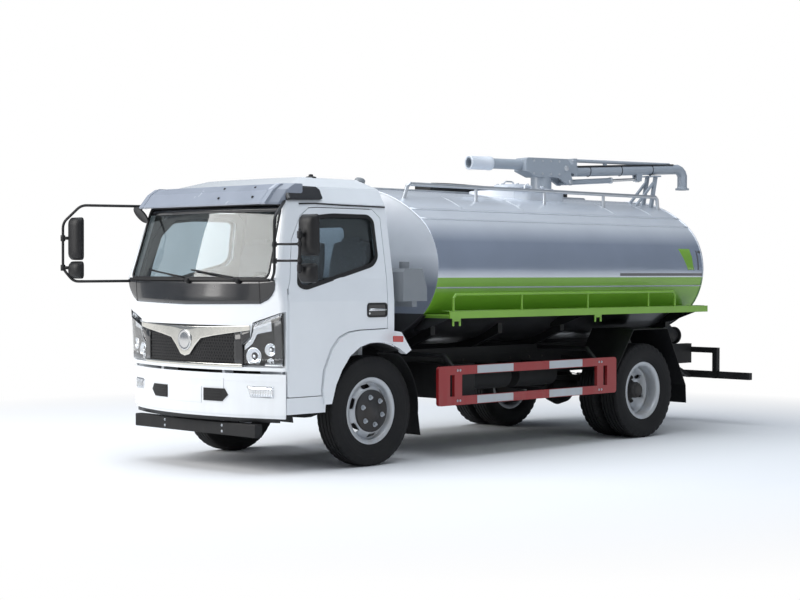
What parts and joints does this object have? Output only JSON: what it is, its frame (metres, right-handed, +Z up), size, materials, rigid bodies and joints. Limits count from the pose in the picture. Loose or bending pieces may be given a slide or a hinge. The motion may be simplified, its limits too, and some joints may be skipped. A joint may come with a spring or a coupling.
{
  "type": "vacuum tanker truck",
  "caption": "Cab-over tanker truck with an oval tank, a swinging suction boom on top, side guards and a tilting cab.",
  "frame": {"origin": "middle of the overall box, on the ground", "axes": "+X forward along the truck, +Y to its left, +Z up"},
  "size_m": [7.312, 3.002, 2.912],
  "materials": {
    "white_paint": "gloss",
    "tank_paint": "satin",
    "green_paint": "gloss",
    "red_paint": "gloss",
    "chassis_paint": "satin",
    "boom_paint": "satin",
    "steel": "satin",
    "wheel_paint": "satin",
    "cast": "rough",
    "tyre_rubber": "matte",
    "glass": "clear",
    "lamp_glass": "clear",
    "black_plastic": "matte",
    "grey_plastic": "matte",
    "red_lens": "gloss",
    "seat_fabric": "matte"
  },
  "bodies": {
    "chassis": {"frame_rails": "chassis_paint", "cross_members": "chassis_paint", "front_mounts": "chassis_paint", "under_bar": "chassis_paint", "engine_block": "cast", "propshaft": "chassis_paint", "leaf_springs": "chassis_paint", "front_axle": "chassis_paint", "rear_axle": "chassis_paint", "tank_barrel": "tank_paint", "tank_bearers": "chassis_paint", "tank_saddles": "chassis_paint", "top_rails": "steel", "hose_trough": "black_plastic", "walkways": "green_paint", "side_guards": "red_paint", "guard_brackets": "chassis_paint", "rear_mudguards": "black_plastic", "front_mudguards": "black_plastic", "rear_underrun": "chassis_paint", "tail_lamps": "red_lens", "rear_valve": "chassis_paint", "battery_box": "chassis_paint", "air_tanks": "chassis_paint", "fuel_tank": "chassis_paint", "vacuum_pump": "chassis_paint", "rinse_tank": "grey_plastic", "boom_rest": "boom_paint"},
    "cab": {"cab_shell": "white_paint", "windscreen": "glass", "rear_window": "glass", "roof_visor": "grey_plastic", "dashboard": "grey_plastic", "steering_wheel": "black_plastic", "seats": "seat_fabric", "grille": "black_plastic", "headlights": "lamp_glass", "bumper": "white_paint", "mirror_left": "black_plastic", "mirror_right": "black_plastic"},
    "left_door": {"door_left": "white_paint", "door_glass_left": "glass"},
    "right_door": {"door_right": "white_paint", "door_glass_right": "glass"},
    "left_knuckle": {"knuckle_left": "cast"},
    "right_knuckle": {"knuckle_right": "cast"},
    "front_wheel_left": {"front_rim_left": "wheel_paint", "front_tyre_left": "tyre_rubber"},
    "front_wheel_right": {"front_rim_right": "wheel_paint", "front_tyre_right": "tyre_rubber"},
    "rear_wheels_left": {"rear_rims_left": "wheel_paint", "rear_tyres_left": "tyre_rubber"},
    "rear_wheels_right": {"rear_rims_right": "wheel_paint", "rear_tyres_right": "tyre_rubber"},
    "hatch": {"hatch_lid": "tank_paint"},
    "turret": {"boom_turret": "boom_paint"},
    "boom": {"boom_arm": "boom_paint", "boom_clevis": "boom_paint"},
    "lift_barrel": {"luff_barrel": "boom_paint"},
    "lift_rod": {"luff_rod": "steel"}
  },
  "joints": [
    {"name": "cab_tilt", "type": "hinge", "parent": "chassis", "child": "cab", "pos_m": [3.294, 0, 0.62], "axis": [0, 1, 0], "range_deg": [0, 45]},
    {"name": "door_left_swing", "type": "hinge", "parent": "cab", "child": "left_door", "pos_m": [3.152, 1.03, 1.08], "axis": [0, 0, -1], "range_deg": [0, 70]},
    {"name": "door_right_swing", "type": "hinge", "parent": "cab", "child": "right_door", "pos_m": [3.152, -1.03, 1.08], "axis": [0, 0, 1], "range_deg": [0, 70]},
    {"name": "steer_left", "type": "hinge", "parent": "chassis", "child": "left_knuckle", "pos_m": [2.144, 0.76, 0.484], "axis": [0, 0, 1], "range_deg": [-34, 34]},
    {"name": "steer_right", "type": "hinge", "parent": "chassis", "child": "right_knuckle", "pos_m": [2.144, -0.76, 0.484], "axis": [0, 0, 1], "range_deg": [-34, 34]},
    {"name": "front_left_spin", "type": "hinge", "parent": "left_knuckle", "child": "front_wheel_left", "pos_m": [2.144, 0.905, 0.484], "axis": [0, 1, 0], "continuous": true},
    {"name": "front_right_spin", "type": "hinge", "parent": "right_knuckle", "child": "front_wheel_right", "pos_m": [2.144, -0.905, 0.484], "axis": [0, 1, 0], "continuous": true},
    {"name": "rear_left_spin", "type": "hinge", "parent": "chassis", "child": "rear_wheels_left", "pos_m": [-1.656, 0.897, 0.484], "axis": [0, 1, 0], "continuous": true},
    {"name": "rear_right_spin", "type": "hinge", "parent": "chassis", "child": "rear_wheels_right", "pos_m": [-1.656, -0.897, 0.484], "axis": [0, 1, 0], "continuous": true},
    {"name": "hatch_open", "type": "hinge", "parent": "chassis", "child": "hatch", "pos_m": [-0.706, 0.366, 2.572], "axis": [-1, 0, 0], "range_deg": [0, 110]},
    {"name": "boom_slew", "type": "hinge", "parent": "chassis", "child": "turret", "pos_m": [-1.356, 0, 2.7], "axis": [0, 0, 1], "range_deg": [-100, 100]},
    {"name": "boom_luff", "type": "hinge", "parent": "turret", "child": "boom", "pos_m": [-1.59804, 0.06259, 2.8], "axis": [0.2504, 0.9681, 0], "range_deg": [0, 45]},
    {"name": "lift_barrel_tilt", "type": "hinge", "parent": "turret", "child": "lift_barrel", "pos_m": [-1.64644, 0.07511, 2.655], "axis": [0.2504, 0.9681, 0], "range_deg": [0, 50]},
    {"name": "lift_rod_slide", "type": "slide", "parent": "lift_barrel", "child": "lift_rod", "axis": [-0.9661, 0.2499, 0.0649], "range_m": [0, 0.13]}
  ],
  "couplings": [
    {"joint": "steer_right", "follows": "steer_left", "ratio": 1},
    {"joint": "lift_barrel_tilt", "follows": "boom_luff", "ratio": 0.992},
    {"joint": "lift_rod_slide", "follows": "boom_luff", "m_per_rad": 0.1505}
  ]
}
